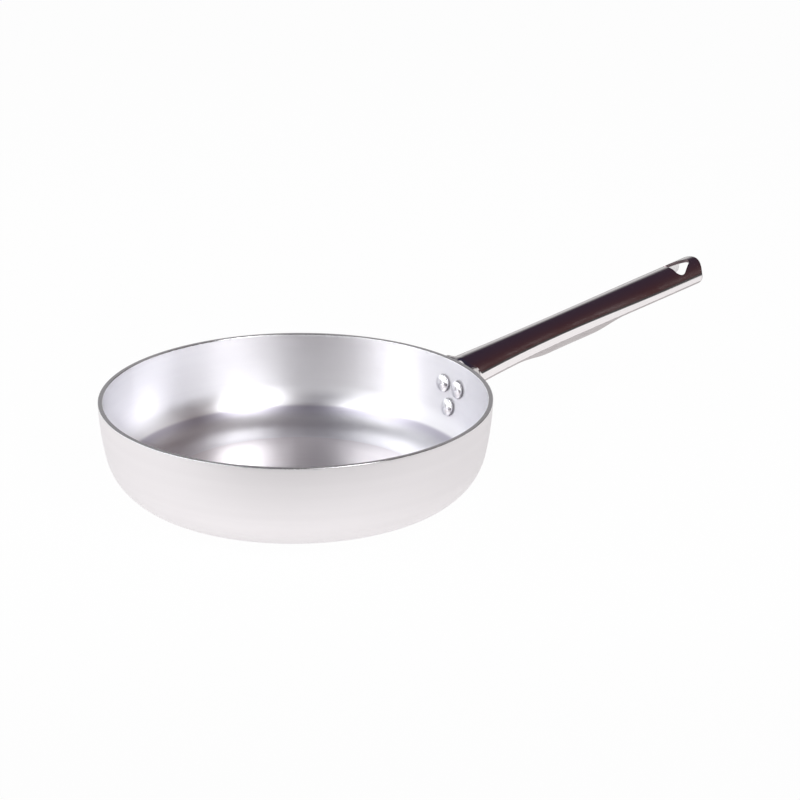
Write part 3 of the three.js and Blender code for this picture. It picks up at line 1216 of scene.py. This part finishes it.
    def _blank(self) -> bmesh.types.BMesh:
        """Make the flat, pierced blank.

        Returns:
            The blank, with rows along X and shares across it along Y.
        """
        rows = self.rows_before_grip + Stretch.GRIP.value
        mesh = bmesh.new()
        bmesh.ops.create_grid(mesh, x_segments=rows, y_segments=self.columns, size=1.0)
        bmesh.ops.translate(mesh, vec=(1.0, 0.0, 0.0), verts=mesh.verts)
        bmesh.ops.scale(mesh, vec=(rows / 2, 1.0, 1.0), verts=mesh.verts)
        self._pierce(mesh)
        return mesh

    def _press(self, mesh: bmesh.types.BMesh) -> None:
        """Form the blank, mark its cut edges and crease for the edge mark, and give the curl a rougher steel
        coloured darker as painted shade.

        Args:
            mesh: The blank.
        """
        wear_and_shade = mesh.verts.layers.float.new(WEAR_AND_SHADE_LAYER)
        half_column = 1 / self.columns
        for face in mesh.faces:
            curled = abs(face.calc_center_median().y) > self.skirt_share
            face.material_index = (HandleFace.CURL if curled else HandleFace.CROWN).value
        for vert in mesh.verts:
            creased = abs(abs(vert.co.y) - self.skirt_share) < half_column
            # Edge mark on the cut edges and the crease: painted shade, darkest on the crown.
            vert[wear_and_shade] = float(vert.is_boundary or creased)
            vert.co = self._form(vert.co.x, vert.co.y)
        mesh.normal_update()

    def make(self) -> bpy.types.Object:
        """Build the handle, dress it and put it in its node's place.

        Returns:
            The handle.
        """
        mesh = self._blank()
        self._press(mesh)
        materials = [HANDLE_FINISHES[face].material(self.groups) for face in HandleFace]
        piece = make_object("formed_handle", mesh, materials)
        shell = piece.modifiers.new("sheet", "SOLIDIFY")
        shell.thickness = self.sheet
        shell.offset = -1.0
        shell.use_even_offset = True
        shell.material_offset = HandleFace.INNER.value
        rounds = piece.modifiers.new("edges", "BEVEL")
        rounds.width = self.edge_round
        rounds.segments = self.edge_steps
        rounds.limit_method = "ANGLE"
        rounds.angle_limit = self.edge_angle
        return seat(piece, self.node)


@dataclass(frozen=True)
class Viewpoint:
    """The photograph's camera: where it stands round the rim's centre, and where that falls in the frame."""

    azimuth: float = math.radians(-32.9)
    elevation: float = math.radians(20.09)
    distance: float = 2.5
    lens: float = 180.72
    sensor: float = 36.0
    frame_px: float = 800.0
    centre_px: tuple[float, float] = (295.66, 396.60)

    @property
    def right(self) -> Vector:
        """The frame's right, in the row's frame."""
        return Vector((math.cos(self.azimuth), math.sin(self.azimuth), 0.0))

    @property
    def away(self) -> Vector:
        """The level direction away from the camera."""
        return Vector((-math.sin(self.azimuth), math.cos(self.azimuth), 0.0))

    def turn(self, right: float, away: float, up: float) -> Vector:
        """Return a direction given by the frame's right, away from the camera and up."""
        return self.right * right + self.away * away + Vector((0.0, 0.0, up))

    def camera(self, centre: Vector) -> bpy.types.Object:
        """Make the camera.

        Args:
            centre: The centre of the rim.

        Returns:
            The camera, turned so that the centre falls on its pixel.
        """
        data = bpy.data.cameras.new("photograph_camera")
        data.lens = self.lens
        data.sensor_width = self.sensor
        made = bpy.data.objects.new("photograph_camera", data)
        bpy.context.scene.collection.objects.link(made)
        towards = self.turn(0.0, math.cos(self.elevation), -math.sin(self.elevation))
        up = self.turn(0.0, math.sin(self.elevation), math.cos(self.elevation))
        step = self.distance * self.sensor / (self.lens * self.frame_px)
        aside = (self.frame_px / 2 - self.centre_px[0]) * step
        lift = (self.centre_px[1] - self.frame_px / 2) * step
        made.location = centre - towards * self.distance
        aim = centre + self.right * aside + up * lift
        made.rotation_euler = (aim - made.location).to_track_quat("-Z", "Y").to_euler()
        bpy.context.scene.camera = made
        return made


@dataclass(frozen=True)
class SoftPanel:
    """A soft lamp panel that faces the pan from a direction given by the photograph's frame."""

    name: str
    towards: tuple[float, float, float]
    size: tuple[float, float]
    power: float
    distance: float = 1.7
    colour: Colour = (0.99, 0.99, 1.0)

    def make(self, view: Viewpoint, target: Vector) -> bpy.types.Object:
        """Make the lamp.

        Args:
            view: The photograph's camera, whose frame gives the direction.
            target: What the panel faces.

        Returns:
            The lamp.
        """
        data = bpy.data.lights.new(self.name, "AREA")
        data.shape = "RECTANGLE"
        data.size, data.size_y = self.size
        data.energy = self.power
        data.color = self.colour
        made = bpy.data.objects.new(self.name, data)
        bpy.context.scene.collection.objects.link(made)
        back = view.turn(*self.towards).normalized()
        made.location = target + back * self.distance
        made.rotation_euler = back.to_track_quat("Z", "Y").to_euler()
        return made


@dataclass(frozen=True)
class Studio:
    """A white floor under a dark ceiling, bright at the left and dark at the right, with soft panels."""

    view: Viewpoint = Viewpoint()
    floor_reach: float = 30.0
    floor_drop: float = 0.2 * MM
    floor_white: float = 0.92
    shadow_share: float = 0.02
    mirror_shadow: float = 0.35
    far_fade: Span = (0.5, 1.2)
    far_white: float = 0.25
    front_fade: Span = (-0.12, -0.45)
    front_white: float = 0.3
    cool_ceiling: Colour = (0.024, 0.022, 0.042)
    warm_ceiling: Colour = (0.055, 0.021, 0.022)
    ceiling_rise: Span = (0.16, 0.5)
    left_level: float = 1.2
    right_level: float = 0.06
    side_turn: Span = (-0.6, 0.8)
    back_level: float = 0.62
    back_turn: Span = (0.75, 0.95)
    panels: tuple[SoftPanel, ...] = (
        SoftPanel("left_panel", (-0.86, -0.12, 0.50), (2.6, 1.7), 11.0),
        SoftPanel("right_panel", (0.42, -0.75, 0.51), (1.1, 1.2), 8.0),
        SoftPanel("high_left_panel", (-0.60, -0.22, 0.766), (1.3, 0.8), 6.6),
        SoftPanel("high_right_panel", (0.44, -0.50, 0.745), (0.6, 0.7), 9.0),
        SoftPanel("spill_panel", (0.83, 0.302, 0.469), (1.0, 0.8), 1.6),
    )

    def _sweep(self) -> bpy.types.Material:
        """Make the floor's finish.

        Returns:
            A material that is evenly white to the camera but for a soft shadow, and that fades far
            away and towards the camera where the metal mirrors it.
        """
        material = bpy.data.materials.new("white_sweep")
        material.use_nodes = True
        material.cycles.emission_sampling = "NONE"
        sheet = NodeSheet(material.node_tree)
        path = sheet.add("ShaderNodeLightPath").outputs
        place = sheet.add("ShaderNodeTexCoord").outputs["Object"]
        reach = sheet.measure("LENGTH", place)
        ahead = sheet.measure("DOT_PRODUCT", place, self.view.away)
        far = sheet.remap(reach, self.far_fade, (1.0, self.far_white))
        front = sheet.remap(ahead, self.front_fade, (1.0, self.front_white))
        level = sheet.math("MULTIPLY", far, front)
        seen = sheet.math("MAXIMUM", level, path["Is Camera Ray"])
        in_metal = sheet.math("MULTIPLY", path["Is Glossy Ray"], 1 - self.mirror_shadow)
        share = sheet.math("MULTIPLY_ADD", path["Is Camera Ray"], 1 - self.shadow_share, in_metal)
        white = sheet.blend(level, grey(0.0), grey(self.floor_white))
        matt = sheet.add("ShaderNodeBsdfDiffuse", {"Color": white})
        glow = sheet.add("ShaderNodeEmission", {"Color": grey(1.0), "Strength": seen})
        mixed = sheet.add("ShaderNodeMixShader", {0: share, 1: matt.outputs[0], 2: glow.outputs[0]})
        sheet.add("ShaderNodeOutputMaterial", {"Surface": mixed.outputs[0]})
        return material

    def _floor(self) -> None:
        """Lay the floor just below the pan."""
        mesh = bmesh.new()
        bmesh.ops.create_grid(mesh, x_segments=1, y_segments=1, size=self.floor_reach)
        bmesh.ops.translate(mesh, vec=(0.0, 0.0, -self.floor_drop), verts=mesh.verts)
        floor = make_object("white_floor", mesh, [self._sweep()])

    def _surround(self) -> None:
        """Make the world: bright at the left, dark at the right, grey at the back, with a dark ceiling."""
        world = bpy.data.worlds.new("studio_tent")
        world.use_nodes = True
        bpy.context.scene.world = world
        sheet = NodeSheet(world.node_tree)
        towards = sheet.add("ShaderNodeTexCoord").outputs["Generated"]
        rise = sheet.add("ShaderNodeSeparateXYZ", {0: towards}).outputs["Z"]
        across = sheet.remap(sheet.measure("DOT_PRODUCT", towards, self.view.right), self.side_turn)
        behind = sheet.remap(sheet.measure("DOT_PRODUCT", towards, self.view.away), self.back_turn)
        above = sheet.remap(rise, self.ceiling_rise)
        sides = sheet.blend(across, grey(self.left_level), grey(self.right_level))
        horizon = sheet.blend(behind, sides, grey(self.back_level))
        ceiling = sheet.blend(across, opaque(self.cool_ceiling), opaque(self.warm_ceiling))
        glow = sheet.add("ShaderNodeBackground", {"Color": sheet.blend(above, horizon, ceiling)})
        sheet.add("ShaderNodeOutputWorld", {"Surface": glow.outputs[0]})

    def set_up(self, rim_centre: Vector) -> None:
        """Set up floor, surround, panels, camera and view transform.

        Args:
            rim_centre: The centre of the rim, which the panels and the camera face.
        """
        self._floor()
        self._surround()
        for panel in self.panels:
            panel.make(self.view, rim_centre)
        self.view.camera(rim_centre)
        bpy.context.scene.view_settings.view_transform = "Standard"


def main() -> None:
    """Build and dress the pan, its rivets and its handle, and set up the studio."""
    logging.basicConfig(level=logging.INFO, format="%(name)s: %(message)s")
    groups = EffectGroups()
    wall = PanWall.of_node("pan_body")
    PanBody(wall, groups).make()
    rivets = RivetSet(wall, groups, tongue_sheet=Handle.sheet)
    rivets.make()
    Handle(wall, rivets, groups).make()
    Studio().set_up(Vector((0.0, 0.0, wall.height)))


if __name__ == "__main__":
    main()
